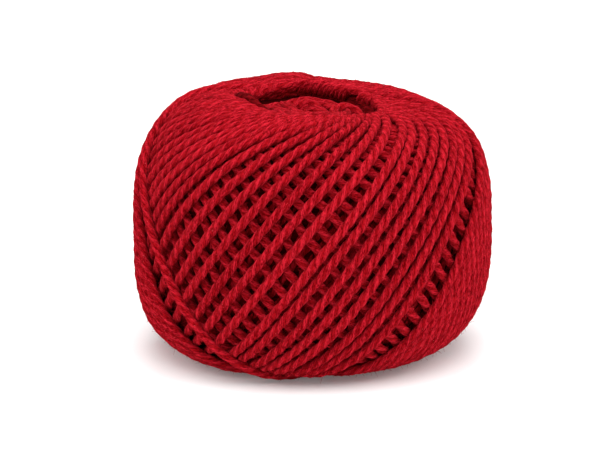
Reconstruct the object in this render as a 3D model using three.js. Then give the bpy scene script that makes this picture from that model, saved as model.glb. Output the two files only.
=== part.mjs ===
// A small ball of twisted cotton cord, wound over a spindle into a barrel.
//
// Every turn of the cord is a tilted loop. It climbs one side of the ball, touches a circle round
// the top hole, runs down the other side and touches a circle round the lower hole. Each turn lies
// a few degrees behind the one wound after it, so the newest whole turn parts the surface in two:
// above it the climbing halves of the turns lie outermost, and below it the falling halves do.
// The solid has one ridge for each turn that shows.
//
// Units are millimetres, +Z is up, and the ball stands on Z = 0. Azimuth 0 is the front (-Y) and
// grows toward +X. A lag is how many degrees of azimuth a turn lies behind the newest whole turn.

import * as THREE from 'three';
import { mergeVertices } from 'three/addons/utils/BufferGeometryUtils.js';

// Size of the ball
const BALL_RADIUS = 42;
const CORD_DIAMETER = 2;

// Upper and lower half of the barrel. rise is from the widest level to the rim, flatRadius is
// where the rim levels out, fullness is how square the shoulder is, and leftFullness is what the
// left side has more.
const TOP = { rise: 31.5, flatRadius: 16, fullness: 2.82, leftFullness: -0.12 };
const BOTTOM = { rise: 28.5, flatRadius: 18.5, fullness: 3.1, leftFullness: 0.36 };

// The top leans down to the right by this slope, and the rim sags by this much at the left and at
// the right.
const TOP_LEAN = 0.057;
const RIM_SAG = 1.7;

// Stretches of the rim that are higher or lower than round about, and one where the hole is wider.
// middle and halfWidth are azimuths, and power is how closely a swell keeps to the rim.
const RIM_SWELLS = [
  { size: 4.2, middle: -76, halfWidth: 56, power: 12 },
  { size: -0.9, middle: -140, halfWidth: 34, power: 5 },
  { size: 0.5, middle: -172, halfWidth: 30, power: 5 },
];
const HOLE_WIDENING = { size: 3.4, middle: -122, halfWidth: 58 };

// How the cord is wound. A turn crosses the widest level at this slope. Each group of turns has
// its own pitch: the close band first, then turns that are spaced.
const TURN_SLOPE = THREE.MathUtils.degToRad(51);
const NEWEST_CLIMB = 107;
const TURN_GROUPS = [
  { firstLag: 0, pitch: 3.64, turns: 15, wander: 0 },
  { firstLag: 66, pitch: 6.2, turns: 8, wander: 0.4 },
  { firstLag: 118.5, pitch: 7.8, turns: 8, wander: 0.4 },
  { firstLag: 178, pitch: 5.6, turns: 5, wander: 0.4 },
  { firstLag: 207, pitch: 7.3, turns: 21, wander: 0.4 },
];
const LAST_TURN_LEAD = 16;
const LAST_TURN_RISE = 0.2 * CORD_DIAMETER;
const WIDE_GAP = 7;

// The shoulder at the right holds the turns back by this many degrees round this place.
const SHOULDER_DRIFT = 10;
const DRIFT_AZIMUTH = { middle: 85, halfWidth: 50 };
const DRIFT_CLIMB = { middle: 45, halfWidth: 35 };

// Lag that the foot of a cord covers to each side of its middle
const CORD_HALF_LAG = THREE.MathUtils.radToDeg(
  0.65 * CORD_DIAMETER / (BALL_RADIUS * Math.sin(TURN_SLOPE)),
);

// Relief of the ridges. A valley is as deep as the room between two crests past PILED_PITCH, and
// the oldest turn that shows lies AGE_DROP below the newest.
const DEEPEST_VALLEY = 0.75 * CORD_DIAMETER;
const SHALLOWEST_VALLEY = 0.12 * CORD_DIAMETER;
const PILED_PITCH = 0.6 * CORD_DIAMETER;
const AGE_DROP = CORD_DIAMETER;

// Steps of lag between the points along a ridge, and the least step before its end
const ROW_STEP = 15;
const LEAST_STEP = 4;

// Rings inside the circle that the turns touch at the top: the inner edge of the rim, the wall of
// the hole, and the loose inner windings that nearly fill it. drop is below the rim.
const TOP_RINGS = [
  { radius: 14.9, drop: 0.8, points: 60 },
  { radius: 14.2, drop: 2.2, points: 48 },
  { radius: 14.0, drop: 4.4, points: 40 },
  { radius: 13.2, drop: 7.0, points: 36 },
  { radius: 11.9, drop: 6.8, points: 36 },
  { radius: 10.6, drop: 4.2, points: 32 },
  { radius: 8.2, drop: 3.2, points: 24 },
  { radius: 4.5, drop: 3.4, points: 12 },
];
const TOP_CENTRE_DROP = 3.8;

// Rings of the underside: the flat foot that the ball stands on, and a shallow dimple in it
const BOTTOM_RINGS = [
  { radius: 17.6, height: 0, points: 48 },
  { radius: 13.0, height: 0, points: 36 },
  { radius: 9.5, height: 2.0, points: 24 },
  { radius: 5.0, height: 2.8, points: 12 },
];
const BOTTOM_CENTRE_HEIGHT = 3;

// Half a turn and a whole turn of azimuth
const HALF_TURN = 180;
const FULL_TURN = 360;

// The climb is solved by halving an interval this many times.
const HALVINGS = 40;

// One at the middle of a range and 0 outside it, by a squared cosine
function bell(value, { middle, halfWidth }) {
  const away = Math.min(Math.abs(value - middle) / halfWidth, 1);
  return Math.cos(away * Math.PI / 2) ** 2;
}

// An angle in degrees, taken to the half turn on either side of zero
function wrapped(angle) {
  return THREE.MathUtils.euclideanModulo(angle + HALF_TURN, FULL_TURN) - HALF_TURN;
}

// Size of a swell of the rim, or of the widening of the hole, at an azimuth in radians
function swellAt(azimuth, { size, middle, halfWidth }) {
  const away = wrapped(THREE.MathUtils.radToDeg(azimuth) - middle);
  return size * bell(away, { middle: 0, halfWidth });
}

// A point of the barrel's outline in the half plane at an azimuth, with its outward normal. The
// outline is a superellipse between the widest level and the rim. swing is the sine of the climb:
// the height over a reach that runs from the rise at the rim to the turn's own slope at the widest
// level.
function barrelPoint(azimuth, swing) {
  const half = swing >= 0 ? TOP : BOTTOM;
  const leftness = -Math.sin(azimuth);
  const power = half.fullness + half.leftFullness * leftness;
  const widening = half === TOP ? swellAt(azimuth, HOLE_WIDENING) : 0;
  const flatRadius = half.flatRadius + widening;
  const width = BALL_RADIUS - flatRadius;
  const equatorReach = BALL_RADIUS * Math.tan(TURN_SLOPE);
  const heightAt = (inset) => half.rise * (1 - inset ** power) ** (1 / power);
  const reachAt = (inset) => THREE.MathUtils.lerp(half.rise, equatorReach, inset);
  let low = 0;
  let high = 1;
  for (let i = 0; i < HALVINGS; i += 1) {
    const middle = (low + high) / 2;
    if (heightAt(middle) > Math.abs(swing) * reachAt(middle)) low = middle;
    else high = middle;
  }
  const radius = flatRadius + width * low;
  const height = heightAt(low) * Math.sign(swing);
  const normal = new THREE.Vector2(
    low ** (power - 1) / width,
    Math.sign(swing) * (Math.abs(height) / half.rise) ** (power - 1) / half.rise,
  ).normalize();
  return { radius, height, normal };
}

// Height above the foot, with the lean of the top and the sag and swells of the rim
function leanedHeight(radius, azimuth, height) {
  const share = Math.max(height, 0) / TOP.rise;
  const lean = TOP_LEAN * radius * Math.sin(azimuth) * share ** 2;
  const sag = RIM_SAG * Math.sin(azimuth) ** 2 * share ** 5;
  const swelling = RIM_SWELLS.reduce(
    (sum, swell) => sum + swellAt(azimuth, swell) * share ** swell.power,
    0,
  );
  return BOTTOM.rise + height - lean - sag + swelling;
}

function placed(radius, azimuth, height) {
  return new THREE.Vector3(
    radius * Math.sin(azimuth),
    -radius * Math.cos(azimuth),
    Math.max(leanedHeight(radius, azimuth, height), 0),
  );
}

// Climb of the crossing of two turns, as an angle round the turn: -90 is the lower circle that
// it touches, 0 the widest level and 90 the upper circle
function climbAt(climbingLag, fallingLag) {
  return (climbingLag - fallingLag - HALF_TURN) / 2;
}

// Azimuth in degrees, moved on where the shoulder holds the turns back
function drifted(azimuth, climb) {
  const plain = wrapped(azimuth);
  return plain + SHOULDER_DRIFT * bell(plain, DRIFT_AZIMUTH) * bell(climb, DRIFT_CLIMB);
}

// The point where the climbing half of one turn crosses the falling half of another, raised off
// the barrel by an offset
function crossing(climbingLag, fallingLag, offset) {
  const climb = climbAt(climbingLag, fallingLag);
  const azimuth = THREE.MathUtils.degToRad(drifted(NEWEST_CLIMB - climbingLag + climb, climb));
  const swing = Math.sin(THREE.MathUtils.degToRad(climb));
  const { radius, height, normal } = barrelPoint(azimuth, swing);
  return placed(radius + offset * normal.x, azimuth, height + offset * normal.y);
}

// Lags of the turns, with a little unevenness in their spacing but for the first of a group
function turnLags() {
  return TURN_GROUPS.flatMap(({ firstLag, pitch, turns, wander }) => (
    Array.from({ length: turns }, (_, i) => {
      const uneven = i > 0 ? Math.sin(2.4 * i) + 0.5 * Math.sin(5.3 * i + 1) : 0;
      return firstLag + pitch * i + wander * uneven;
    })
  ));
}

// Columns of the relief: a crest along each turn and a valley between neighbours. A wide gap has
// a valley at the foot of each of its two turns. gap is the lag between the neighbouring crests.
function reliefColumns() {
  const lags = turnLags();
  const columns = [];
  lags.forEach((lag, i) => {
    columns.push({ lag, gap: 0 });
    const next = lags[i + 1] ?? FULL_TURN;
    const gap = next - lag;
    if (gap > WIDE_GAP) {
      columns.push({ lag: lag + CORD_HALF_LAG, gap }, { lag: next - CORD_HALF_LAG, gap });
    } else {
      columns.push({ lag: (lag + next) / 2, gap });
    }
  });
  columns.push({ lag: FULL_TURN, gap: 0 });
  return columns;
}

// Offset of a column from the barrel. Older turns lie deeper, and valleys fade toward the two
// circles, where the turns run ever closer together and pile up.
function reliefOffset({ lag, gap }, climb) {
  const settled = -AGE_DROP * lag / FULL_TURN;
  if (gap === 0) return settled;
  const room = THREE.MathUtils.degToRad(gap) * BALL_RADIUS * Math.sin(TURN_SLOPE)
    * Math.cos(THREE.MathUtils.degToRad(climb));
  return settled - THREE.MathUtils.clamp(room - PILED_PITCH, SHALLOWEST_VALLEY, DEEPEST_VALLEY);
}

// Steps of lag from the newest whole turn across it, its neighbour and the older turns
function rowSteps(end) {
  const nearby = [
    CORD_HALF_LAG,
    LAST_TURN_LEAD - CORD_HALF_LAG,
    LAST_TURN_LEAD,
    LAST_TURN_LEAD + CORD_HALF_LAG,
  ];
  const steps = [...nearby];
  for (let step = 1.5 * ROW_STEP; step < end; step += ROW_STEP) steps.push(step);
  return [0, ...steps.filter((step) => step < end - LEAST_STEP), end];
}

// Offset on one step of a column: the newest whole turn is the seam between the two halves of
// the surface, and the very last turn lies across the ridges a little further on
function steppedOffset(column, step, climb) {
  if (step === 0) return 0;
  const plain = reliefOffset(column, climb);
  if (step !== LAST_TURN_LEAD) return plain;
  const fade = Math.cos(THREE.MathUtils.degToRad(climb));
  return THREE.MathUtils.lerp(plain, LAST_TURN_RISE, fade);
}

// Upper half of the surface: columns along the climbing halves, from the seam to the upper circle
function climbingColumns(columns) {
  return columns.map((column) => {
    const { lag } = column;
    const end = FULL_TURN - lag;
    if (lag === 0) {
      return columns.map((other) => ({
        along: FULL_TURN - other.lag,
        point: crossing(0, other.lag - FULL_TURN, 0),
      })).reverse();
    }
    if (end === 0) return [{ along: 0, point: crossing(lag, 0, 0) }];
    return rowSteps(end).map((step) => {
      const offset = steppedOffset(column, step, climbAt(lag, -step));
      return { along: step, point: crossing(lag, -step, offset) };
    });
  });
}

// Lower half of the surface: columns along the falling halves, from the lower circle to the seam
function fallingColumns(columns) {
  return columns.map((column) => {
    const { lag } = column;
    const end = FULL_TURN - lag;
    if (lag === 0) {
      return columns.map((other) => ({ along: other.lag, point: crossing(other.lag, 0, 0) }));
    }
    if (end === 0) return [{ along: FULL_TURN, point: crossing(FULL_TURN, lag, 0) }];
    return rowSteps(end).map((step) => {
      const offset = steppedOffset(column, step, climbAt(FULL_TURN - step, lag));
      return { along: FULL_TURN - step, point: crossing(FULL_TURN - step, lag, offset) };
    }).reverse();
  });
}

// Triangles between two lines of points that run the same way, with left on the left hand as
// seen from outside
function stitch(left, right) {
  const triangles = [];
  let i = 0;
  let j = 0;
  while (i < left.length - 1 || j < right.length - 1) {
    const leftNext = i < left.length - 1 ? left[i + 1].along : Infinity;
    const rightNext = j < right.length - 1 ? right[j + 1].along : Infinity;
    if (leftNext <= rightNext) {
      triangles.push([left[i].point, right[j].point, left[i + 1].point]);
      i += 1;
    } else {
      triangles.push([right[j].point, right[j + 1].point, left[i].point]);
      j += 1;
    }
  }
  return triangles;
}

// A closed ring of points, starting at an azimuth in degrees. radiusAt gives its radius at an
// azimuth in radians.
function ring(radiusAt, height, points, start) {
  return Array.from({ length: points + 1 }, (_, i) => {
    const along = start + FULL_TURN * i / points;
    const azimuth = THREE.MathUtils.degToRad(start + FULL_TURN * (i % points) / points);
    return { along, point: placed(radiusAt(azimuth), azimuth, height) };
  });
}

// The ring where the columns end on one of the two circles, in order of growing azimuth
function circleRing(ends, columns, start) {
  return ends.map((end, i) => ({ along: start - columns[i].lag, point: end.point })).reverse();
}

function topCap(upper, columns) {
  const start = NEWEST_CLIMB + HALF_TURN / 2;
  const ends = upper.map((column) => column[column.length - 1]);
  const first = start - FULL_TURN;
  const stretch = (azimuth) => 1 + swellAt(azimuth, HOLE_WIDENING) / TOP.flatRadius;
  const rings = [
    circleRing(ends, columns, start),
    ...TOP_RINGS.map(({ radius, drop, points }) => (
      ring((azimuth) => radius * stretch(azimuth), TOP.rise - drop, points, first)
    )),
    [{ along: first, point: placed(0, 0, TOP.rise - TOP_CENTRE_DROP) }],
  ];
  return rings.slice(1).flatMap((inner, i) => stitch(inner, rings[i]));
}

function bottomCap(lower, columns) {
  const start = NEWEST_CLIMB - HALF_TURN / 2;
  const ends = lower.map((column) => column[0]);
  const first = start - FULL_TURN;
  const rings = [
    circleRing(ends, columns, start),
    ...BOTTOM_RINGS.map(({ radius, height, points }) => (
      ring(() => radius, height - BOTTOM.rise, points, first)
    )),
    [{ along: first, point: placed(0, 0, BOTTOM_CENTRE_HEIGHT - BOTTOM.rise) }],
  ];
  return rings.slice(1).flatMap((inner, i) => stitch(rings[i], inner));
}

// One closed surface, standing on its foot with the middle of its box over the origin
function ballGeometry() {
  const columns = reliefColumns();
  const upper = climbingColumns(columns);
  const lower = fallingColumns(columns);
  const triangles = [
    ...upper.slice(1).flatMap((column, i) => stitch(column, upper[i])),
    ...lower.slice(1).flatMap((column, i) => stitch(column, lower[i])),
    ...topCap(upper, columns),
    ...bottomCap(lower, columns),
  ];
  const positions = triangles.flat().flatMap((point) => point.toArray());
  const soup = new THREE.BufferGeometry();
  soup.setAttribute('position', new THREE.Float32BufferAttribute(positions, 3));
  const geometry = mergeVertices(soup, 1e-3);
  geometry.computeBoundingBox();
  const middle = geometry.boundingBox.getCenter(new THREE.Vector3());
  geometry.translate(-middle.x, -middle.y, -geometry.boundingBox.min.z);
  geometry.computeVertexNormals();
  return geometry;
}

function cottonMaterial() {
  return new THREE.MeshStandardMaterial({ color: 0xb5101f, roughness: 0.9, metalness: 0 });
}

const ball = new THREE.Group();
const woundCord = new THREE.Mesh(ballGeometry(), cottonMaterial());
woundCord.name = 'wound_cord';
ball.add(woundCord);

export default ball;
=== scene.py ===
"""Visual model of a small ball of red macrame yarn.

The ball is wound from one length of cotton cord, which is laid here turn by turn along the same
tilted loops as the ridges of the solid. Lengths are millimetres until a mesh is made. Azimuth 0 is
the front (-Y) and grows toward +X. The swing angle runs round a turn: -90 is the lower circle that
the turn touches, 0 the widest level on the climbing half, 90 the upper circle and 180 the widest
level on the falling half. A lag is how many degrees of azimuth a turn lies behind the newest
whole turn, and the climb is the swing angle folded to -90 to 90.
"""

import logging
import math
from dataclasses import dataclass, field
from enum import Enum

import bpy
import numpy as np
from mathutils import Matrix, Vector


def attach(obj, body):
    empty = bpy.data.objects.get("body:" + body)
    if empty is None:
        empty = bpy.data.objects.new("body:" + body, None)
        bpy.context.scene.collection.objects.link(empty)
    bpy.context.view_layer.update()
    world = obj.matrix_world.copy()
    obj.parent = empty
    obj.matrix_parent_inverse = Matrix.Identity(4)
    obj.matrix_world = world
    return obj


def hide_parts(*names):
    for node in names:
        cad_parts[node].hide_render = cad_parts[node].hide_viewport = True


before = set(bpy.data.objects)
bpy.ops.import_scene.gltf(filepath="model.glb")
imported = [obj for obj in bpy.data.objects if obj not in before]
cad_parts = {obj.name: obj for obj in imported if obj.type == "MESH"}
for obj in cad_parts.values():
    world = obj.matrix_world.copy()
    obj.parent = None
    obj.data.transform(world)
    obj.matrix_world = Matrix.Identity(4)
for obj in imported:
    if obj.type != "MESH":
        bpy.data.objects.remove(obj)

log = logging.getLogger("ball")

NODE = "wound_cord"
MM = 0.001
TONE_WAVELENGTH = 60.0

TINY = 1e-9

Array = np.ndarray
Material = bpy.types.Material
Socket = bpy.types.NodeSocket
Rng = np.random.Generator
Pair = tuple[float, float]
Triple = tuple[float, float, float]


def smoothstep(low: float, high: float, value: Array) -> Array:
    """Eased ramp from 0 at low to 1 at high, t squared times (3 - 2 t) of the way between."""
    share = np.clip((value - low) / (high - low), 0.0, 1.0)
    return share * share * (3.0 - 2.0 * share)


def smooth_noise(length: Array, wavelength: float, rng: Rng) -> Array:
    """Gentle random waviness along a cord.

    Formula: random heights at every wavelength, joined by an eased curve.

    Args:
        length, wavelength: Distance along the cord of each point and between the heights.
        rng: Source of the heights.

    Returns:
        Values between about -1 and 1.
    """
    knots = rng.uniform(-1.0, 1.0, int(length[-1] / wavelength) + 3)
    at = length / wavelength
    first = at.astype(int)
    share = smoothstep(0.0, 1.0, at - first)
    return knots[first] * (1.0 - share) + knots[first + 1] * share


def unit(vectors: Array) -> Array:
    """Vectors of length one along the given ones."""
    return vectors / np.maximum(np.linalg.norm(vectors, axis=1, keepdims=True), TINY)


def bell(value: Array, middle: float, half_width: float) -> Array:
    """Squared cosine, which is 1 at the middle and 0 from the half width on."""
    share = np.clip((value - middle) / half_width, -1.0, 1.0)
    return np.cos(np.pi / 2 * share) ** 2


def round_axis(radius: Array, azimuth: Array, height: Array) -> Array:
    """Points or directions at an azimuth in radians round the ball's axis."""
    return np.stack([radius * np.sin(azimuth), -radius * np.cos(azimuth), height], axis=-1)


def distance_along(points: Array) -> Array:
    """Distance along a path of each of its points."""
    gaps = np.linalg.norm(np.diff(points, axis=0), axis=1)
    return np.concatenate([[0.0], np.cumsum(gaps)])


def read_along(rows: Array, travelled: Array, length: Array) -> Array:
    """Rows of three numbers along a path, read at other distances by straight lines."""
    return np.stack([np.interp(length, travelled, rows[:, k]) for k in range(3)], axis=-1)


def new_object(name: str, data: bpy.types.ID) -> bpy.types.Object:
    """Makes an object of a mesh, a light or a camera and links it to the scene."""
    made = bpy.data.objects.new(name, data)
    bpy.context.scene.collection.objects.link(made)
    return made


def set_inputs(node: bpy.types.Node, values: dict[str, object]) -> None:
    """Sets inputs of a node by their names."""
    for name, value in values.items():
        node.inputs[name].default_value = value


def ring_quads(rows: int, columns: int) -> Array:
    """Corners of the four-sided faces between rings of points.

    Formula: each point, the next one round its ring and the two after them in the next ring.

    Args:
        rows, columns: Number of rings and of points in a ring.

    Returns:
        Four point numbers for each face.
    """
    here = np.arange(columns)
    following = np.roll(here, -1)
    corners = np.stack([here, following, columns + following, columns + here], axis=-1)
    return (corners + columns * np.arange(rows - 1)[:, None, None]).reshape(-1, 4)


class Fineness(Enum):
    """How finely a length of cord is meshed: faces round it and millimetres between rings."""

    SHOWN = (12, 0.82)
    BURIED = (6, 1.7)
    LOOSE = (12, 0.7)

    @property
    def columns(self) -> int:
        """Faces round the cord."""
        return self.value[0]

    @property
    def step(self) -> float:
        """Distance between rings of points."""
        return self.value[1]


@dataclass(frozen=True)
class Half:
    """Upper or lower half of the barrel.

    rise is from the widest level to the rim, flat_radius is where the rim levels out, fullness is
    how square the shoulder is, and left_fullness is what the left side has more.
    """

    rise: float
    flat_radius: float
    fullness: float
    left_fullness: float = 0.0


@dataclass(frozen=True)
class Swell:
    """Stretch of the rim that is higher or wider than round about.

    The azimuths are in degrees, and power is how closely the swell keeps to the rim.
    """

    size: float
    middle: float
    half_width: float
    power: float = 0.0

    def at(self, azimuth: Array) -> Array:
        """Size of the swell at an azimuth in radians, which fades by a squared cosine."""
        away = np.mod(np.degrees(azimuth) - self.middle + 180.0, 360.0) - 180.0
        return self.size * bell(away, 0.0, self.half_width)


@dataclass(frozen=True)
class Barrel:
    """Outline that the wound cord fills.

    swells raise the rim, widening draws out the upper hollow, and undercut is how much further out
    its wall lies for each millimetre of depth.
    """

    radius: float = 42.0
    top: Half = Half(31.5, 16.0, 2.82, -0.12)
    bottom: Half = Half(28.5, 18.5, 3.1, 0.36)
    lean: float = 0.057
    rim_sag: float = 1.7
    swells: tuple[Swell, ...] = (
        Swell(4.2, -76.0, 56.0, 12.0),
        Swell(-0.9, -140.0, 34.0, 5.0),
        Swell(0.5, -172.0, 30.0, 5.0),
    )
    widening: Swell = Swell(3.4, -122.0, 58.0)
    undercut: Swell = Swell(0.6, -172.0, 80.0)
    turn_slope: float = math.radians(51.0)
    halvings: int = 26

    def outline(self, azimuth: Array, swing: Array) -> tuple[Array, Array, Array, Array]:
        """Where a turn lies on the barrel.

        Formula: the height is rise (1 - inset^n)^(1/n) and the radius runs straight from the flat
        radius to the full radius with inset. The inset is found by halving, where the height over
        a reach equals the swing. The reach runs from the rise at the rim to radius times the
        tangent of the turn's slope at the widest level.

        Args:
            azimuth: In radians.
            swing: Sine of the swing angle.

        Returns:
            Radius, height over the widest level, and the outward normal's two parts.
        """
        upper = swing >= 0
        rise = np.where(upper, self.top.rise, self.bottom.rise)
        upper_flat = self.top.flat_radius + self.widening.at(azimuth)
        flat = np.where(upper, upper_flat, self.bottom.flat_radius)
        left = -np.sin(azimuth)
        power = np.where(
            upper,
            self.top.fullness + self.top.left_fullness * left,
            self.bottom.fullness + self.bottom.left_fullness * left,
        )
        level_reach = self.radius * math.tan(self.turn_slope)
        low = np.zeros_like(azimuth)
        high = np.ones_like(azimuth)
        for _ in range(self.halvings):
            inset = (low + high) / 2
            height = rise * (1 - inset**power) ** (1 / power)
            above = height > np.abs(swing) * (rise + (level_reach - rise) * inset)
            low = np.where(above, inset, low)
            high = np.where(above, high, inset)
        width = self.radius - flat
        height = rise * (1 - low**power) ** (1 / power) * np.sign(swing)
        out = low ** (power - 1) / width
        up = np.sign(swing) * (np.abs(height) / rise) ** (power - 1) / rise
        size = np.hypot(out, up)
        return flat + width * low, height, out / size, up / size

    def leaned(self, radius: Array, azimuth: Array, height: Array) -> Array:
        """Adds the lean of the top and the unevenness of the rim.

        Formula: less lean times radius times the azimuth's sine times the squared share of the
        rise, less sag times the squared sine times the share's fifth power, and plus each swell
        times the share to its power.

        Args:
            radius: Distance from the axis.
            azimuth: In radians.
            height: Over the widest level.

        Returns:
            Height over the foot.
        """
        share = np.maximum(height, 0) / self.top.rise
        lean = self.lean * radius * np.sin(azimuth) * share**2
        sag = self.rim_sag * np.sin(azimuth) ** 2 * share**5
        level = self.bottom.rise + height - lean - sag
        for swell in self.swells:
            level = level + swell.at(azimuth) * share**swell.power
        return level

    def placed(self, radius: Array, azimuth: Array, height: Array) -> Array:
        """Points at a radius, azimuth and height over the widest level."""
        return round_axis(radius, azimuth, self.leaned(radius, azimuth, height))


@dataclass(frozen=True)
class CordSection:
    """Cross-section of the twisted cord: three plies that press against each other.

    lay is the length of one round of the twist, groove is how deep the plies' grooves are as a
    share of the cord's radius, and groove_power is how narrow they are. The radius is less by the
    groove times that power of the absolute cosine of half the angle round one ply.
    """

    diameter: float = 2.16
    lay: float = 10.0
    plies: int = 3
    groove: float = 0.17
    groove_power: float = 1.4

    def radii(self, columns: int) -> Array:
        """Distance of each column of the mesh from the cord's middle."""
        dip = np.abs(np.cos(np.pi * self.plies * (np.arange(columns) / columns))) ** self.groove_power
        return self.diameter / 2 * (1 - self.groove * dip)


class MeshBuilder:
    """Collects tubes of cord, closed surfaces and hairs, and makes one mesh object of them."""

    def __init__(self, name: str) -> None:
        """Starts an empty mesh of the given name."""
        self.name = name
        self.parts: list[tuple[Array, ...]] = []
        self.count = 0

    def tube(
        self, path: Array, normals: Array, section: CordSection, fineness: Fineness,
        length: Array, tone: Array, flatten: float = 0.0,
    ) -> None:
        """Adds a closed tube of twisted cord along a path.

        Formula: a point is the path plus the column's radius times (cosine times the normal plus
        sine times the sideways direction). The angle falls with the length by one round in each
        lay, which gives an S twist, and the columns of the mesh follow it.

        Args:
            path, normals: Points along its middle and directions away from the ball.
            section, fineness: Its cross-section and the number of faces round it.
            length: Distance along it of each point, for the twist and the map.
            tone: How light or dark the cotton is at each point, about -1 to 1.
            flatten: Share by which it is pressed flat.
        """
        columns = fineness.columns
        along = unit(np.gradient(path, axis=0))
        side = unit(np.cross(along, normals))
        outward = np.cross(side, along)
        around = np.arange(columns) / columns
        angle = 2 * np.pi * (around[None, :] - length[:, None] / section.lay)
        radii = section.radii(columns)[None, :]
        high = (radii * np.cos(angle) * (1 - flatten))[..., None] * outward[:, None, :]
        wide = (radii * np.sin(angle) * (1 + flatten))[..., None] * side[:, None, :]
        self.rings(path[:, None, :] + high + wide, path[[0, -1]], length, tone)

    def _add(self, points: Array, tones: Array, quads: Array, fans: Array, uvs: Array) -> None:
        """Adds points and faces, whose corners are counted from the first of the points."""
        self.parts.append((points, tones, quads + self.count, fans + self.count, uvs))
        self.count += len(points)

    def rings(self, rings: Array, ends: Array, length: Array, tone: Array) -> None:
        """Adds a surface made of rings of points, closed by a fan at each end.

        Args:
            rings: Points of shape (rings, points round a ring, 3), in order so that the faces
                point outward.
            ends: The two points in which the fans meet.
            length, tone: Place along the map and lightness of the cotton at each ring.
        """
        rows, columns = rings.shape[:2]
        here = np.arange(columns)
        following = np.roll(here, -1)
        last = columns * (rows - 1)
        pole = np.full(columns, columns * rows)
        low = np.stack([pole, following, here], axis=-1)
        high = np.stack([pole + 1, last + here, last + following], axis=-1)
        start, end = length[:-1, None], length[1:, None]
        u = np.stack([start, start, end, end], axis=-1)
        v = np.stack([here, here + 1, here + 1, here], axis=-1) / columns
        self._add(
            np.concatenate([rings.reshape(-1, 3), ends]),
            np.concatenate([np.repeat(tone, columns), tone[[0, -1]]]),
            ring_quads(rows, columns),
            np.concatenate([low, high]),
            np.stack(np.broadcast_arrays(u, v), axis=-1).reshape(-1, 2),
        )

    def hairs(self, lines: Array, radius: float) -> None:
        """Adds a thin closed hair along each of many short lines.

        Formula: a triangle of points round each of a line's three points, square to the way from
        its root to its tip. The radius shrinks to half, and no point lies below the floor.

        Args:
            lines: Points of shape (hairs, 3, 3): root, middle and tip of each hair.
            radius: Radius at the root.
        """
        sides, shrink = 3, np.array([1.0, 0.8, 0.5])
        count, rings = lines.shape[:2]
        along = unit(lines[:, -1] - lines[:, 0])
        side = unit(np.cross(along, np.roll(along, 1, axis=1) + 0.01))
        other = np.cross(along, side)
        angle = (np.arange(sides) * 2 * np.pi / sides)[:, None]
        ring = np.cos(angle) * side[:, None, :] + np.sin(angle) * other[:, None, :]
        thickness = (radius * shrink)[None, :, None, None]
        points = lines[:, :, None, :] + thickness * ring[:, None, :, :]
        points[..., 2] = np.maximum(points[..., 2], 0.0)
        quads = ring_quads(rings, sides)
        fans = np.array([[0, 2, 1], np.arange(sides) + sides * (rings - 1)])
        start = sides * rings * np.arange(count)[:, None, None]
        self._add(
            points.reshape(-1, 3),
            np.zeros(count * sides * rings),
            (quads[None] + start).reshape(-1, 4),
            (fans[None] + start).reshape(-1, 3),
            np.zeros((count * quads.size, 2)),
        )

    def build(self, material: Material) -> None:
        """Makes the object, in metres, rides it on the body and gives it its finish.

        Args:
            material: Finish of every face.
        """
        points, tones, quads, fans, uvs = (np.concatenate(part) for part in zip(*self.parts))
        uvs = np.concatenate([uvs, np.zeros((fans.size, 2))])
        mesh = bpy.data.meshes.new(self.name)
        mesh.vertices.add(len(points))
        mesh.vertices.foreach_set("co", points.ravel() * MM)
        corners = np.concatenate([quads.ravel(), fans.ravel()])
        sizes = np.concatenate([np.full(len(quads), 4), np.full(len(fans), 3)])
        starts = np.concatenate([[0], np.cumsum(sizes)[:-1]])
        mesh.loops.add(len(corners))
        mesh.loops.foreach_set("vertex_index", corners)
        mesh.polygons.add(len(sizes))
        mesh.polygons.foreach_set("loop_start", starts)
        mesh.polygons.foreach_set("loop_total", sizes)
        uv_layer = mesh.uv_layers.new(name="cord_map")
        mesh.update(calc_edges=True)
        uv_layer.data.foreach_set("uv", uvs.ravel())
        shade = mesh.attributes.new("tone", "FLOAT", "POINT")
        shade.data.foreach_set("value", tones.astype(np.float32))
        mesh.polygons.foreach_set("use_smooth", np.ones(len(sizes), dtype=bool))
        mesh.validate()
        mesh.update()
        mesh.materials.append(material)
        piece = new_object(self.name, mesh)
        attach(piece, "root")
        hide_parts(NODE)
        log.info("%s: %d triangles", self.name, 2 * len(quads) + len(fans))


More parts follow.
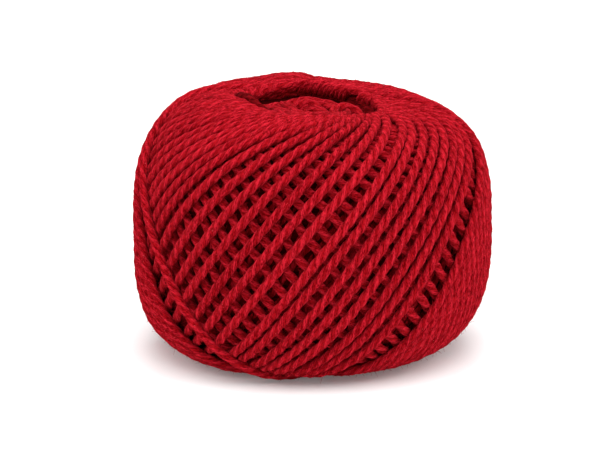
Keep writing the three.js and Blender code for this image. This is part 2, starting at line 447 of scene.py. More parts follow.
def fibre_group() -> bpy.types.NodeTree:
    """Shader node group of spun cotton: streaks along the plies, pale specks, and a mask of the ply
    grooves where shade is painted.

    The map runs along the cord in millimetres and round it from 0 to 1. Fibres is how many noise
    cells lie round the cord, Plies how many plies, and Specks how high the noise is where a pale
    speck begins. Streaks and relief are weighted sums of a coarse and a fine noise.

    Returns:
        The group, which puts out the streaks, the ply grooves for the painted shade, the specks and the
        relief.
    """
    group = bpy.data.node_groups.new("spun_cotton", "ShaderNodeTree")
    face = group.interface
    face.new_socket("Map", in_out="INPUT", socket_type="NodeSocketVector")
    for name, value in (("Fibres", 24.0), ("Plies", 3.0), ("Specks", 0.78)):
        socket = face.new_socket(name, in_out="INPUT", socket_type="NodeSocketFloat")
        socket.default_value = value
    outputs = ("Streaks", "Groove", "Speck", "Relief")
    for name in outputs:
        face.new_socket(name, in_out="OUTPUT", socket_type="NodeSocketFloat")
    nodes = group.nodes
    link = group.links.new
    inward = nodes.new("NodeGroupInput")
    outward = nodes.new("NodeGroupOutput")

    def maths(operation: str, *values: object) -> Socket:
        """Adds one Math node whose inputs are sockets or numbers, and returns its output."""
        node = nodes.new("ShaderNodeMath")
        node.operation = operation
        for slot, value in zip(node.inputs, values):
            if isinstance(value, Socket):
                link(value, slot)
            else:
                slot.default_value = value
        return node.outputs[0]

    parts = nodes.new("ShaderNodeSeparateXYZ")
    link(inward.outputs["Map"], parts.inputs[0])
    along, around = parts.outputs[0], parts.outputs[1]
    turn = maths("MULTIPLY", around, 2 * math.pi)
    wrap_x = maths("COSINE", turn)
    wrap_y = maths("SINE", turn)
    fibres = maths("MULTIPLY", inward.outputs["Fibres"], 1 / (2 * math.pi))

    def wrapped(fineness: float, scale_along: float, detail: float, roughness: float) -> Socket:
        """Adds noise over a cylinder wrapped from the map, so that it has no seam."""
        girth = maths("MULTIPLY", fibres, fineness)
        place = nodes.new("ShaderNodeCombineXYZ")
        link(maths("MULTIPLY", wrap_x, girth), place.inputs[0])
        link(maths("MULTIPLY", wrap_y, girth), place.inputs[1])
        link(maths("MULTIPLY", along, scale_along), place.inputs[2])
        noise = nodes.new("ShaderNodeTexNoise")
        set_inputs(noise, {"Scale": 1.0, "Detail": detail, "Roughness": roughness})
        link(place.outputs[0], noise.inputs["Vector"])
        return noise.outputs[0]

    yarns = wrapped(fineness=1.0, scale_along=0.8, detail=2.0, roughness=0.65)
    fluff = wrapped(fineness=2.2, scale_along=2.0, detail=1.0, roughness=0.5)
    lint = wrapped(fineness=1.3, scale_along=2.6, detail=1.0, roughness=0.5)
    streaks = maths("MULTIPLY_ADD", yarns, 0.6, maths("MULTIPLY", fluff, 0.4))
    crest = maths("COSINE", maths("MULTIPLY", turn, inward.outputs["Plies"]))
    groove = maths("MULTIPLY_ADD", crest, 0.5, 0.5)
    speck = maths("GREATER_THAN", lint, inward.outputs["Specks"])
    relief = maths("MULTIPLY_ADD", yarns, 0.5, maths("MULTIPLY", fluff, 0.5))
    for name, value in zip(outputs, (streaks, groove, speck, relief)):
        link(value, outward.inputs[name])
    return group


@dataclass(frozen=True)
class CottonFinish:
    """Dyed cotton cord, three plies, slightly fuzzy.

    dark_at and light_at are the streaks' values that get the dark and the light colour, and rough
    holds the roughness where the streaks are dark and light. The groove colour is painted shade,
    multiplied into the colour in the ply grooves.
    """

    name: str
    dark: Triple = (0.2, 0.001, 0.004)
    light: Triple = (0.62, 0.015, 0.03)
    painted_groove_shade: Triple = (0.62, 0.31, 0.31)
    speck_colour: Triple = (0.8, 0.12, 0.13)
    dark_at: float = 0.42
    light_at: float = 0.56
    rough: Pair = (0.95, 0.78)
    relief_depth: float = 0.0006
    sheen: float = 0.04
    sheen_roughness: float = 0.45
    sheen_tint: Triple = (1.0, 0.25, 0.3)
    fibres: float = 20.0
    tone_share: float = 0.025

    def material(self, group: bpy.types.NodeTree) -> Material:
        """Builds the node material.

        Args:
            group: The spun cotton group.

        Returns:
            The finished material.
        """
        material = bpy.data.materials.new(self.name)
        material.use_nodes = True
        nodes = material.node_tree.nodes
        link = material.node_tree.links.new
        shader = nodes["Principled BSDF"]
        values = {"Sheen Weight": self.sheen, "Sheen Roughness": self.sheen_roughness}
        set_inputs(shader, {**values, "Sheen Tint": (*self.sheen_tint, 1.0), "Specular IOR Level": 0.0})
        cord_map = nodes.new("ShaderNodeUVMap")
        cord_map.uv_map = "cord_map"
        fibres = nodes.new("ShaderNodeGroup")
        fibres.node_tree = group
        fibres.inputs["Fibres"].default_value = self.fibres
        link(cord_map.outputs[0], fibres.inputs["Map"])
        tone = nodes.new("ShaderNodeAttribute")
        tone.attribute_name = "tone"
        shift = nodes.new("ShaderNodeMath")
        shift.operation = "MULTIPLY_ADD"
        link(tone.outputs["Fac"], shift.inputs[0])
        shift.inputs[1].default_value = self.tone_share
        link(fibres.outputs["Streaks"], shift.inputs[2])
        ramp = nodes.new("ShaderNodeValToRGB")
        low, high = ramp.color_ramp.elements
        low.position, high.position = self.dark_at, self.light_at
        low.color, high.color = (*self.dark, 1.0), (*self.light, 1.0)
        link(shift.outputs[0], ramp.inputs[0])
        colour = ramp.outputs[0]
        # Painted shade: the groove colour darkens the cotton in the ply grooves. The specks are pale
        # lint.
        mixes = (("Groove", "MULTIPLY", self.painted_groove_shade), ("Speck", "MIX", self.speck_colour))
        for where, blend, other in mixes:
            mix = nodes.new("ShaderNodeMix")
            mix.data_type = "RGBA"
            mix.blend_type = blend
            set_inputs(mix, {"B": (*other, 1.0)})
            link(fibres.outputs[where], mix.inputs["Factor"])
            link(colour, mix.inputs["A"])
            colour = mix.outputs["Result"]
        link(colour, shader.inputs["Base Color"])
        rough = nodes.new("ShaderNodeMapRange")
        set_inputs(rough, {"To Min": self.rough[0], "To Max": self.rough[1]})
        link(fibres.outputs["Streaks"], rough.inputs["Value"])
        link(rough.outputs[0], shader.inputs["Roughness"])
        bump = nodes.new("ShaderNodeBump")
        bump.inputs["Distance"].default_value = self.relief_depth
        link(fibres.outputs["Relief"], bump.inputs["Height"])
        link(bump.outputs[0], shader.inputs["Normal"])
        return material


@dataclass(frozen=True)
class TurnGroup:
    """Neighbouring turns that were wound at one pitch, with a little unevenness."""

    first_lag: float
    pitch: float
    turns: int
    wander: float = 0.0

    def lags(self) -> Array:
        """Lags of the turns, the newest first.

        Formula: the turns wander by the wander times (sin 2.4 i + 0.5 sin(5.3 i + 1)) degrees,
        but for the first.
        """
        i = np.arange(self.turns)
        uneven = np.sin(2.4 * i) + 0.5 * np.sin(5.3 * i + 1)
        return self.first_lag + self.pitch * i + np.where(i > 0, self.wander * uneven, 0.0)


@dataclass(frozen=True)
class Fuzz:
    """Short fibres that stand out of the cord, in millimetres and radians.

    spacing is along the cord and spread round it from the outward normal, upright is how far they
    point outward, slant and bend are how far they lean along the cord and to a side, tip is how far
    the tip goes on and outward, and rooted is where they start as a share of the cord's radius.
    """

    spacing: float = 4.0
    radius: float = 0.035
    lengths: Pair = (0.4, 1.5)
    spread: float = 1.75
    upright: float = 0.7
    slant: float = 1.6
    bend: float = 0.35
    tip: Pair = (0.9, 0.2)
    rooted: float = 0.93


@dataclass
class WoundCord:
    """The one long cord, laid turn by turn from the oldest turn to the newest.

    Angles are degrees. drift_azimuth, drift_climb and dip give a middle and a half width each.
    A turn goes over to the next one's lag between the hand_over swing angles. layer is how much
    deeper the cord lies for each half round of lag, and age_share how much of that still shows.
    wall_flare is how much further out a hollow's wall lies for each millimetre below wall_start.
    bed_above and bed_below are the climbs over which the newest bed_lags of turns bed in.
    """

    barrel: Barrel
    section: CordSection
    outer: Material
    # inner is painted shade: darker cotton for the buried turns, which lie in shadow.
    inner: Material
    loose: Material
    newest_climb: float = 107.0
    groups: tuple[TurnGroup, ...] = (
        TurnGroup(0.0, 3.64, 15),
        TurnGroup(66.0, 6.2, 8, 0.4),
        TurnGroup(118.5, 7.8, 8, 0.4),
        TurnGroup(178.0, 5.6, 5, 0.4),
        TurnGroup(207.0, 7.3, 21, 0.4),
    )
    drift: float = 10.0
    drift_azimuth: Pair = (85.0, 50.0)
    drift_climb: Pair = (45.0, 35.0)
    hand_over: Pair = (225.0, 315.0)
    last_lead: float = 16.0
    older_turns: int = 74
    older_pitch: float = 4.9
    older_wander: float = 1.2
    layer: float = 1.9
    age_share: float = 0.5
    seam_width: float = 30.0
    rim_angle: float = 8.0
    dip_share: float = 0.55
    dip: Pair = (14.0, 8.0)
    foot_climb: Pair = (-50.0, -80.0)
    wall_flare: float = 0.3
    wall_start: float = 2.5
    wall_angle: float = 35.0
    sway: float = 0.17
    sway_wavelengths: Pair = (9.0, 14.0)
    press: float = 0.04
    proud: float = 0.3
    bed_depth: float = 1.5
    bed_above: Pair = (15.0, 60.0)
    bed_below: Pair = (-55.0, -90.0)
    bed_lags: float = 22.0
    samples: int = 720
    sample_gap: float = 0.35
    seed: int = 11
    fuzz: Fuzz = Fuzz()
    lags: Array = field(default_factory=lambda: np.zeros(0))
    hair_roots: list[tuple[Array, Array, Array]] = field(default_factory=list)

    def turn_lags(self) -> Array:
        """Lags of the turns from the oldest to the newest, as the solid's ridges have them."""
        shown = np.concatenate([group.lags() for group in self.groups])
        rng = np.random.default_rng(self.seed)
        older = shown[-1] + self.older_pitch * np.arange(1, self.older_turns + 1)
        older = older + rng.uniform(-self.older_wander, self.older_wander, self.older_turns)
        return np.concatenate([[-self.last_lead], shown, older])[::-1]

    def lag_at(self, turn: Array, swing: Array) -> Array:
        """Lag along the running cord.

        Formula: a turn keeps its lag but for its last quarter under the ball, where an eased ramp
        leads to half way to the next turn, and the next turn starts with the other half.

        Args:
            turn: Number of the turn from the oldest.
            swing: From -90 to 270 degrees.

        Returns:
            Lag in degrees.
        """
        lags = self.lags
        here = lags[turn]
        after = lags[np.minimum(turn + 1, len(lags) - 1)]
        before = lags[np.maximum(turn - 1, 0)]
        start, end = self.hand_over
        leaving = smoothstep(start, end, swing)
        arriving = smoothstep(start - 360.0, end - 360.0, swing)
        return here + (after - here) * leaving + (before - here) * (1 - arriving)

    def drifted(self, azimuth: Array, climb: Array) -> Array:
        """Azimuth plus the drift times two bells, where the right shoulder holds a turn back."""
        bells = bell(azimuth, *self.drift_azimuth) * bell(climb, *self.drift_climb)
        return azimuth + self.drift * bells

    def pressed(self, climb: Array) -> Array:
        """Extra depth of the half of a turn that lies under the other half's strands.

        Formula: one layer times the sum of the climb over 90 and a dip near the circle that the
        turn touches, which falls off as e to minus the squared distance, eased in from the rim.

        Args:
            climb: In degrees.

        Returns:
            Depth in millimetres.
        """
        from_rim = 90.0 - np.abs(climb)
        dip = self.dip_share * np.exp(-(((from_rim - self.dip[0]) / self.dip[1]) ** 2))
        return self.layer * smoothstep(0.0, self.rim_angle, from_rim) * (np.abs(climb) / 90 + dip)

    def settled(self, azimuth: Array, climb: Array) -> Array:
        """Depth of the outermost strand at a place, which is given back to fill the outline.

        Formula: the climbing strand there has lag 107 - azimuth + climb and the falling one
        -73 - azimuth - climb, both taken within one round, and the smaller one shows. Its depth
        is taken off but for the age share, and eased to that of the other region at the seam.

        Args:
            azimuth, climb: In degrees.

        Returns:
            Depth in millimetres.
        """
        climbing = np.mod(self.newest_climb - azimuth + climb, 360.0)
        falling = np.mod(self.newest_climb - 180.0 - azimuth - climb, 360.0)
        climbs = climbing <= falling
        shown = np.where(climbs, climbing, falling)
        width = np.maximum(np.where(climbs, 180.0 + 2 * climb, 180.0 - 2 * climb), TINY)
        extra = self.pressed(climb)
        own = np.where(climbs == (climb < 0), extra, 0.0)
        other = extra - own
        ease = np.minimum(1.0, self.seam_width / width)
        late = smoothstep(0.0, 1.0, (shown / width - 1 + ease) / ease)
        foot = smoothstep(*self.foot_climb, climb)
        kept = self.age_share + (1 - self.age_share) * foot
        return (own + kept * self.layer * shown / 180.0) * (1 - late) + other * late

    def depth(self, lag: Array, azimuth: Array, climb: Array, rising: Array) -> Array:
        """Depth of the cord's middle inside the barrel.

        Formula: the cord's radius plus one layer for each half round of lag, plus the extra depth
        of a half that lies under the other, less what the outermost strand there has settled. The
        cord stands proud by no more than the proud height. Near the ball's ends the newest turns
        bed in, by the bed depth times eased ramps over the climb and the lag.

        Args:
            lag, azimuth, climb: In degrees.
            rising: Whether the turn is on its climbing half.

        Returns:
            Depth in millimetres.
        """
        half = self.section.diameter / 2
        extra = np.where(rising == (climb < 0), self.pressed(climb), 0.0)
        depth = half + self.layer * np.maximum(lag, 0.0) / 180.0 + extra
        depth = np.maximum(depth - self.settled(azimuth, climb), half - self.proud)
        ends = smoothstep(*self.bed_above, climb) + smoothstep(*self.bed_below, climb)
        leading = smoothstep(0.0, -self.last_lead, lag)
        newest = 0.5 * smoothstep(self.bed_lags, 0.0, lag) + 0.5 * leading
        return depth + self.bed_depth * ends * newest

    def laid(self, turn: Array, swing: Array, rng: Rng) -> tuple[Array, Array]:
        """Middle of the cord and the outward normal along a run of turns.

        Formula: the azimuth is 107 - lag + swing, plus the drift. The point lies inside the barrel
        by the depth and sways a little in depth and to its side. Near a rim the deeper turns lie
        further out by the flare, so that the wall opens below. The floor holds the cord up.

        Args:
            turn, swing: Number of the turn and swing angle at each point.
            rng: Source of the sway.

        Returns:
            Points and normals.
        """
        lag = self.lag_at(turn, swing)
        azimuth_deg = self.newest_climb - lag + swing
        rising = swing <= 90.0
        climb = np.where(rising, swing, 180.0 - swing)
        wrapped = np.mod(azimuth_deg + 180.0, 360.0) - 180.0
        azimuth = np.radians(self.drifted(wrapped, climb))
        radius, height, out, up = self.barrel.outline(azimuth, np.sin(np.radians(climb)))
        steps = np.arange(len(swing)) * self.sample_gap
        inward, sideways = self.sway_wavelengths
        depth = self.depth(lag, azimuth_deg, climb, rising)
        depth = depth + self.sway * smooth_noise(steps, inward, rng)
        flare = self.wall_flare + self.barrel.undercut.at(azimuth) * (climb > 0)
        at_rim = smoothstep(self.wall_angle, 0.0, 90.0 - np.abs(climb))
        outward = flare * np.maximum(depth - self.wall_start, 0.0) * at_rim
        points = self.barrel.placed(radius - depth * out + outward, azimuth, height - depth * up)
        normals = round_axis(out, azimuth, up)
        side = unit(np.cross(unit(np.gradient(points, axis=0)), normals))
        points = points + (self.sway * smooth_noise(steps, sideways, rng))[:, None] * side
        points[:, 2] = np.maximum(points[:, 2], self.section.diameter / 2)
        return points, normals

    def run(self, name: str, first: int, last: int, fineness: Fineness) -> None:
        """Builds the turns from first up to last as one closed tube.

        Args:
            name: Name of the piece.
            first, last: Numbers of its oldest turn and of the one after its newest.
            fineness: How finely it is meshed.
        """
        rng = np.random.default_rng(self.seed + first)
        swing = np.arange((last - first) * self.samples + 1) * 360.0 / self.samples
        turn = np.minimum((swing / 360.0).astype(int), last - first - 1)
        points, normals = self.laid(turn + first, swing - 360.0 * turn - 90.0, rng)
        travelled = distance_along(points)
        count = int(travelled[-1] / fineness.step) + 1
        length = np.linspace(0.0, travelled[-1], count)
        path = read_along(points, travelled, length)
        lean = unit(read_along(normals, travelled, length))
        tone = smooth_noise(length, TONE_WAVELENGTH, rng)
        builder = MeshBuilder(name)
        builder.tube(path, lean, self.section, fineness, length, tone, self.press)
        if fineness is Fineness.SHOWN:
            every = int(self.fuzz.spacing / fineness.step)
            along = unit(np.gradient(path, axis=0))
            self.hair_roots.append((path[::every], lean[::every], along[::every]))
        log.info("%s: %.1f m of cord in %d turns", name, travelled[-1] * MM, last - first)
        # The buried turns get the darker cotton, which is painted shade.
        builder.build(self.outer if fineness is Fineness.SHOWN else self.inner)

    def loose_fibres(self) -> None:
        """Builds the short fibres that stand out of the cord.

        Formula: a fibre leaves the cord within the spread of the outward normal, slants along the
        cord one way or the other, bends to a side half way and lifts a little at its tip.
        """
        fuzz = self.fuzz
        rng = np.random.default_rng(self.seed)
        path, normals, along = (np.concatenate(part) for part in zip(*self.hair_roots))
        count = len(path)
        angle = rng.uniform(-fuzz.spread, fuzz.spread, count)[:, None]
        outward = np.cos(angle) * normals + np.sin(angle) * np.cross(along, normals)
        roots = path + outward * self.section.diameter / 2 * fuzz.rooted
        length = rng.uniform(*fuzz.lengths, count)[:, None]
        slant = rng.uniform(-fuzz.slant, fuzz.slant, count)[:, None]
        way = unit(outward * fuzz.upright + slant * along)
        bend = np.cross(way, outward) * rng.uniform(-fuzz.bend, fuzz.bend, count)[:, None]
        middles = roots + length / 2 * (way + bend)
        tips = roots + length * (fuzz.tip[0] * way + fuzz.tip[1] * outward)
        above_floor = tips[:, 2] > 2 * fuzz.radius
        lines = np.stack([roots, middles, tips], axis=1)[above_floor]
        builder = MeshBuilder("loose_fibres")
        builder.hairs(lines, fuzz.radius)
        builder.build(self.loose)

    def build(self) -> None:
        """Builds the older turns in two pieces, the turns that show in four, and the fibres."""
        self.lags = self.turn_lags()
        shown = 1 + sum(group.turns for group in self.groups)
        total = len(self.lags)
        oldest = total - shown
        self.run("under_turns_a", 0, oldest // 2, Fineness.BURIED)
        self.run("under_turns_b", oldest // 2, oldest, Fineness.BURIED)
        cuts = np.linspace(oldest, total - self.groups[0].turns - 1, 4).astype(int)
        for letter, first, last in zip("abc", cuts[:-1], cuts[1:]):
            self.run(f"spaced_turns_{letter}", first, last, Fineness.SHOWN)
        self.run("close_band", cuts[-1], total, Fineness.SHOWN)
        self.loose_fibres()


@dataclass
class Core:
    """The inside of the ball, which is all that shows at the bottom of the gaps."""

    barrel: Barrel
    # Painted shade: the core's cotton is near black, for the shadow at the bottom of the gaps.
    cotton: Material
    depth: float = 4.8
    climbs: Pair = (-88.0, 74.0)
    sink: float = 7.0
    rings: int = 40
    columns: int = 72
    map_scale: float = 200.0
    # The darker tone adds to the painted shade.
    tone: float = -0.5

    def build(self) -> None:
        """Builds the inside as one closed surface.

        Formula: the barrel's outline, moved in along its normal by the depth, with a pole below
        and one above, which is sunk under the hollow.
        """
        climbs = np.radians(np.linspace(*self.climbs, self.rings))
        around = np.arange(self.columns) / self.columns * 2 * np.pi
        climb, azimuth = (side.ravel() for side in np.meshgrid(climbs, around, indexing="ij"))
        radius, height, out, up = self.barrel.outline(azimuth, np.sin(climb))
        points = self.barrel.placed(radius - self.depth * out, azimuth, height - self.depth * up)
        body = points.reshape(self.rings, self.columns, 3)
        ends = body[[0, -1]].mean(axis=1)
        ends[1, 2] -= self.sink
        builder = MeshBuilder("packed_core")
        length = np.arange(self.rings) * self.map_scale / self.columns
        builder.rings(body, ends, length, np.full(self.rings, self.tone))
        builder.build(self.cotton)


class End(Enum):
    """Which end of the ball a hollow is in."""

    TOP = "top"
    FOOT = "foot"


@dataclass(frozen=True)
class Loops:
    """Loose loops of cord that lie over a mound, in millimetres and shares.

    reach is how far out they go, smallest and growth are the smallest one's size and what the
    largest has more, and arc is the share of a round that one runs. It waves two and five times a
    round by the waves, lies off the axis by up to the shift, tilts by the tilt and goes down by the
    dive over its ends. lift is how high its middle lies over the mound and pressed how low it may
    lie on the floor, both as shares of the cord's radius.
    """

    count: int
    reach: float
    seed: int
    smallest: float = 0.3
    growth: float = 0.62
    arc: Pair = (0.75, 0.95)
    waves: Pair = (0.12, 0.05)
    phase: float = 6.0
    shift: float = 1.2
    lift: float = 0.4
    tilt: Pair = (0.3, 1.1)
    ends: float = 0.12
    dive: float = 2.2
    pressed: float = 0.9
    tone: float = 0.6
    samples: int = 160


@dataclass(frozen=True)
class Bend:
    """Part of an ellipse of cord that stands up at the right of the upper coil."""

    middle: Pair = (8.4, -2.2)
    half_sizes: Pair = (3.9, 3.6)
    angles: Pair = (-40.0, 215.0)
    lift: float = 1.5
    rise: float = 1.5
    tone: float = 1.0
    samples: int = 60


@dataclass
class Hollow:
    """The loose inner windings that nearly fill a hollow: a mound with cord coiled over it.

    profile gives radii and how far the mound lies there below the rim or over the floor.
    """

    barrel: Barrel
    section: CordSection
    end: End
    profile: tuple[Pair, ...]
    loops: Loops
    # Painted shade: the mound and the coil get cotton darker than the cord, for the shade in the
    # hollow.
    cotton: Material
    bend: Bend = Bend()
    innermost: float = 0.4
    thickness: float = 3.0
    rings: int = 14
    columns: int = 48
    map_scale: float = 80.0
    tone: float = -0.3

    @property
    def sign(self) -> float:
        """1 for the upper hollow and -1 for the lower one."""
        return 1.0 if self.end is End.TOP else -1.0

    def level(self, radius: Array) -> Array:
        """Height of the mound over the widest level, by straight lines through the profile."""
        rim = self.barrel.top.rise if self.end is End.TOP else self.barrel.bottom.rise
        return self.sign * (rim - np.interp(radius, *np.array(self.profile).T))

    def placed(self, radius: Array, azimuth: Array, height: Array) -> Array:
        """Points of the mound or the coil, drawn out to where the upper hollow is wider."""
        wider = self.barrel.widening.at(azimuth) / self.barrel.top.flat_radius
        return self.barrel.placed(radius * (1 + wider * (self.end is End.TOP)), azimuth, height)

    def mound(self) -> None:
        """Builds the mound as a closed cap.

        Formula: rings at growing radius at the profile's level, closed by the same rings moved
        into the ball by the thickness.
        """
        radii = np.linspace(self.innermost, self.profile[-1][0], self.rings)
        around = np.arange(self.columns) / self.columns * 2 * np.pi
        radii = np.concatenate([radii, radii[::-1]])
        level = self.level(radii)
        level[self.rings:] -= self.sign * self.thickness
        radius, azimuth = np.meshgrid(radii, around, indexing="ij")
        points = self.placed(radius, azimuth, np.broadcast_to(level[:, None], radius.shape))
        if self.end is End.TOP:
            points = points[::-1]
        builder = MeshBuilder(f"{self.end.value}_mound")
        length = np.arange(len(points)) * self.map_scale / self.columns
        tone = np.full(len(points), self.tone)
        builder.rings(points, points[[0, -1]].mean(axis=1), length, tone)
        builder.build(self.cotton)

    def add_loop(self, builder: MeshBuilder, number: int, rng: Rng) -> None:
        """Adds one loose loop of cord.

        Formula: a wavy circle about a middle near the axis, which follows the mound's level and
        tilts, so that the loops lie over and under each other.

        Args:
            builder: Mesh of the coil.
            number: Number from the smallest loop.
            rng: Source of its unevenness.
        """
        loops, half = self.loops, self.section.diameter / 2
        size = loops.reach * (loops.smallest + loops.growth * (number + 0.5) / loops.count)
        around = np.linspace(0.0, 2 * np.pi * rng.uniform(*loops.arc), loops.samples)
        turned = around + rng.uniform(0, 2 * np.pi)
        wave = 1 + loops.waves[0] * np.sin(2 * turned + rng.uniform(0, loops.phase))
        wave = wave + loops.waves[1] * np.sin(5 * turned)
        x = size * wave * np.cos(turned) + rng.uniform(-loops.shift, loops.shift)
        y = size * wave * np.sin(turned) + rng.uniform(-loops.shift, loops.shift)
        tilt = rng.uniform(*loops.tilt) * np.sin(turned + rng.uniform(0, loops.phase))
        radius = np.hypot(x, y)
        height = self.level(radius) + self.sign * (half * loops.lift + tilt)
        points = self.placed(radius, np.arctan2(x, -y), height)
        ends = smoothstep(0.0, loops.ends, np.linspace(0, 1, loops.samples))
        points[:, 2] -= self.sign * loops.dive * (1 - ends * ends[::-1])
        if self.end is End.FOOT:
            points[:, 2] = np.maximum(points[:, 2], half * loops.pressed)
        travelled = distance_along(points)
        count = int(travelled[-1] / Fineness.LOOSE.step) + 2
        length = np.linspace(0.0, travelled[-1], count)
        path = read_along(points, travelled, length)
        normals = np.tile([0.0, 0.0, self.sign], (count, 1))
        tone = np.full(count, rng.uniform(-loops.tone, loops.tone))
        builder.tube(path, normals, self.section, Fineness.LOOSE, length, tone)

    def add_bend(self, builder: MeshBuilder) -> None:
        """Adds the bend of cord that stands up out of the upper coil.

        Formula: a point of the ellipse at each angle, lifted and raised by the angle's sine, so
        that both ends sink into the coil.

        Args:
            builder: Mesh of the coil.
        """
        bend = self.bend
        angle = np.linspace(*np.radians(bend.angles), bend.samples)
        x = bend.middle[0] + bend.half_sizes[0] * np.cos(angle)
        y = bend.middle[1] + bend.half_sizes[1] * np.sin(angle)
        radius = np.hypot(x, y)
        height = self.level(radius) + bend.lift + bend.rise * np.sin(angle)
        path = self.barrel.placed(radius, np.arctan2(x, -y), height)
        normals = np.tile([0.0, 0.0, 1.0], (len(path), 1))
        tone = np.full(len(path), bend.tone)
        builder.tube(path, normals, self.section, Fineness.LOOSE, distance_along(path), tone)

    def coil(self) -> None:
        """Builds the loose loops over the mound, and in the upper hollow the bend too."""
        rng = np.random.default_rng(self.loops.seed)
        builder = MeshBuilder(f"{self.end.value}_coil")
        for number in range(self.loops.count):
            self.add_loop(builder, number, rng)
        if self.end is End.TOP:
            self.add_bend(builder)
        builder.build(self.cotton)

    def build(self) -> None:
        """Builds the mound and the coil."""
        self.mound()
        self.coil()


@dataclass
class HollowWall:
    """The rounds of cord that line the wall of the upper hollow.

    lowest and highest are how far under the rim they start and end, inset is how far inside the
    rim's inner circle they start, and spread how much further out they end. The undercut counts
    as at undercut_depth.
    """

    barrel: Barrel
    section: CordSection
    # Painted shade: the wall's cotton is darker than the cord, for the shadow under the rim.
    cotton: Material
    seed: int
    rounds: int = 6
    samples: int = 180
    lowest: float = 9.0
    highest: float = 2.9
    inset: float = 1.7
    spread: float = 0.9
    undercut_depth: float = 8.0
    waviness: float = 0.5
    wavelength: float = 17.0

    def build(self) -> None:
        """Builds the rounds as one closed tube.

        Formula: a helix that widens on its way up, with smooth noise in its height so that the
        rounds lie unevenly.
        """
        rng = np.random.default_rng(self.seed)
        barrel, top = self.barrel, self.barrel.top
        azimuth = np.linspace(0.0, 2 * np.pi * self.rounds, self.samples * self.rounds)
        share = azimuth / azimuth[-1]
        wide = barrel.widening.at(azimuth)
        low = barrel.leaned(top.flat_radius + wide, azimuth, top.rise - self.lowest)
        high = barrel.leaned(top.flat_radius + wide, azimuth, top.rise) - self.highest
        noise = smooth_noise(azimuth * top.flat_radius, self.wavelength, rng)
        height = low + (high - low) * share + self.waviness * noise
        wide = wide + self.undercut_depth * barrel.undercut.at(azimuth)
        radius = top.flat_radius - self.inset + self.spread * share + wide
        points = round_axis(radius, azimuth, height)
        travelled = distance_along(points)
        length = np.arange(0.0, travelled[-1], Fineness.LOOSE.step)
        path = read_along(points, travelled, length)
        normals = unit(path * np.array([-1.0, -1.0, 0.0]))
        tone = smooth_noise(length, TONE_WAVELENGTH, rng)
        builder = MeshBuilder("hollow_wall")
        builder.tube(path, normals, self.section, Fineness.LOOSE, length, tone)
        builder.build(self.cotton)


@dataclass(frozen=True)
class Lamp:
    """Square soft light that faces the ball, in metres and watts."""

    name: str
    place: Triple
    size: float
    watts: float


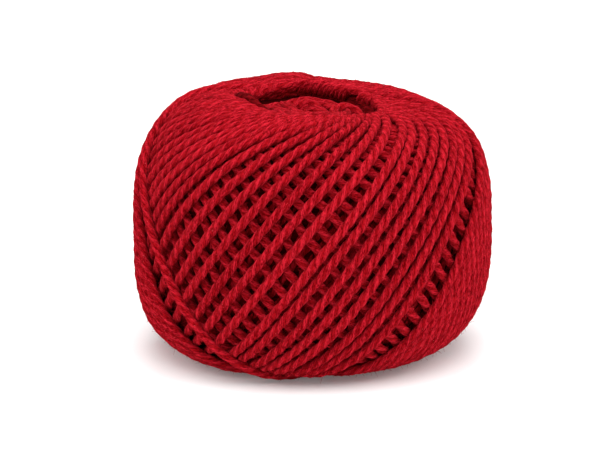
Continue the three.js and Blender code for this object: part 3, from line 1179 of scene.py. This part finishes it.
@dataclass
class Studio:
    """Pale floor, soft lights and the camera at the photograph's angle."""

    elevation: float = math.radians(16.0)
    distance: float = 0.588
    aim: Triple = (0.0, 0.0, 0.0285)
    focal_pixels: float = 2518.6
    frame_pixels: float = 600.0
    sensor: float = 36.0
    shift_pixels: Pair = (-12.4, 0.2)
    floor_reach: float = 3.0
    lamps: tuple[Lamp, ...] = (
        Lamp("key", (0.05, -0.35, 0.85), 1.0, 9.8),
        Lamp("left", (-0.8, -0.35, 0.5), 0.6, 3.4),
        Lamp("right", (0.8, -0.2, 0.5), 0.6, 3.0),
        Lamp("back", (0.0, 0.6, 0.8), 0.6, 4.0),
    )
    daylight: float = 0.4

    def camera(self) -> None:
        """Places the camera so that the ball has its place and size in the frame."""
        data = bpy.data.cameras.new("camera")
        data.sensor_width = self.sensor
        data.lens = self.focal_pixels / self.frame_pixels * self.sensor
        data.shift_x, data.shift_y = (pixels / self.frame_pixels for pixels in self.shift_pixels)
        camera = new_object("camera", data)
        back = Vector((0.0, -math.cos(self.elevation), math.sin(self.elevation)))
        camera.location = Vector(self.aim) + back * self.distance
        camera.rotation_euler = back.to_track_quat("Z", "Y").to_euler()
        bpy.context.scene.camera = camera

    def floor(self) -> None:
        """Builds the pale floor."""
        far = self.floor_reach
        mesh = bpy.data.meshes.new("floor")
        corners = [(-far, -far, 0), (far, -far, 0), (far, far, 0), (-far, far, 0)]
        mesh.from_pydata(corners, [], [(0, 1, 2, 3)])
        material = bpy.data.materials.new("pale_floor")
        material.use_nodes = True
        shader = material.node_tree.nodes["Principled BSDF"]
        pale, white = (0.9, 0.9, 0.9, 1.0), (1.0, 1.0, 1.0, 1.0)
        set_inputs(shader, {"Base Color": pale, "Roughness": 0.9, "Specular IOR Level": 0.1})
        set_inputs(shader, {"Emission Color": white, "Emission Strength": 0.1})
        mesh.materials.append(material)
        new_object("floor", mesh)

    def light(self, lamp: Lamp) -> None:
        """Hangs one lamp."""
        data = bpy.data.lights.new(lamp.name, "AREA")
        data.size = lamp.size
        data.energy = lamp.watts
        hung = new_object(lamp.name, data)
        hung.location = lamp.place
        away = Vector(lamp.place) - Vector(self.aim)
        hung.rotation_euler = away.to_track_quat("Z", "Y").to_euler()

    def build(self) -> None:
        """Sets up floor, camera and light."""
        self.camera()
        self.floor()
        for lamp in self.lamps:
            self.light(lamp)
        world = bpy.data.worlds.new("studio")
        world.use_nodes = True
        background = world.node_tree.nodes["Background"]
        set_inputs(background, {"Color": (1.0, 1.0, 1.0, 1.0), "Strength": self.daylight})
        bpy.context.scene.world = world
        bpy.context.scene.view_settings.view_transform = "Standard"


def main() -> None:
    """Builds the studio and the ball."""
    logging.basicConfig(level=logging.INFO, format="%(name)s: %(message)s")
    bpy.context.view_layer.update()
    Studio().build()
    group = fibre_group()
    finishes = (
        CottonFinish("cord_cotton"),
        # Painted shade: a darker copy of the cord's cotton for the buried turns, standing in for their
        # shadow.
        CottonFinish("shaded_inner_cotton", light=(0.5, 0.01, 0.02)),
        # Painted shade: near-black cotton on the core, standing in for the shadow at the bottom of the
        # gaps.
        CottonFinish("core_shade_cotton", dark=(0.04, 0.001, 0.001), light=(0.1, 0.002, 0.003)),
        # Painted shade: darker cotton for the hollow's wall, standing in for the shadow under the rim.
        CottonFinish("wall_shade_cotton", dark=(0.08, 0.001, 0.002), light=(0.24, 0.004, 0.007)),
        # Painted shade: a darker copy of the cord's cotton for the mounds and coils down in the
        # hollows.
        CottonFinish("shaded_loose_cotton", light=(0.5, 0.011, 0.022), fibres=14.0, sheen=0.08),
        CottonFinish("fuzz_cotton", dark=(0.5, 0.03, 0.05), light=(0.7, 0.06, 0.08)),
    )
    outer, inner, packed, wall, loose, fuzz = (finish.material(group) for finish in finishes)
    barrel = Barrel()
    section = CordSection()
    WoundCord(barrel, section, outer, inner, fuzz).build()
    Core(barrel, packed).build()
    top_profile = ((0.0, 5.3), (4.5, 4.9), (8.2, 4.7), (10.4, 5.9), (12.2, 7.6), (14.5, 8.8))
    Hollow(barrel, section, End.TOP, top_profile, Loops(30, 14.2, seed=5), loose).build()
    HollowWall(barrel, section, wall, seed=5).build()
    foot_profile = ((0.0, 3.6), (5.0, 3.4), (9.5, 2.8), (13.0, 1.6), (17.0, 1.4))
    Hollow(barrel, section, End.FOOT, foot_profile, Loops(24, 17.5, seed=9), loose).build()


if __name__ == "__main__":
    main()
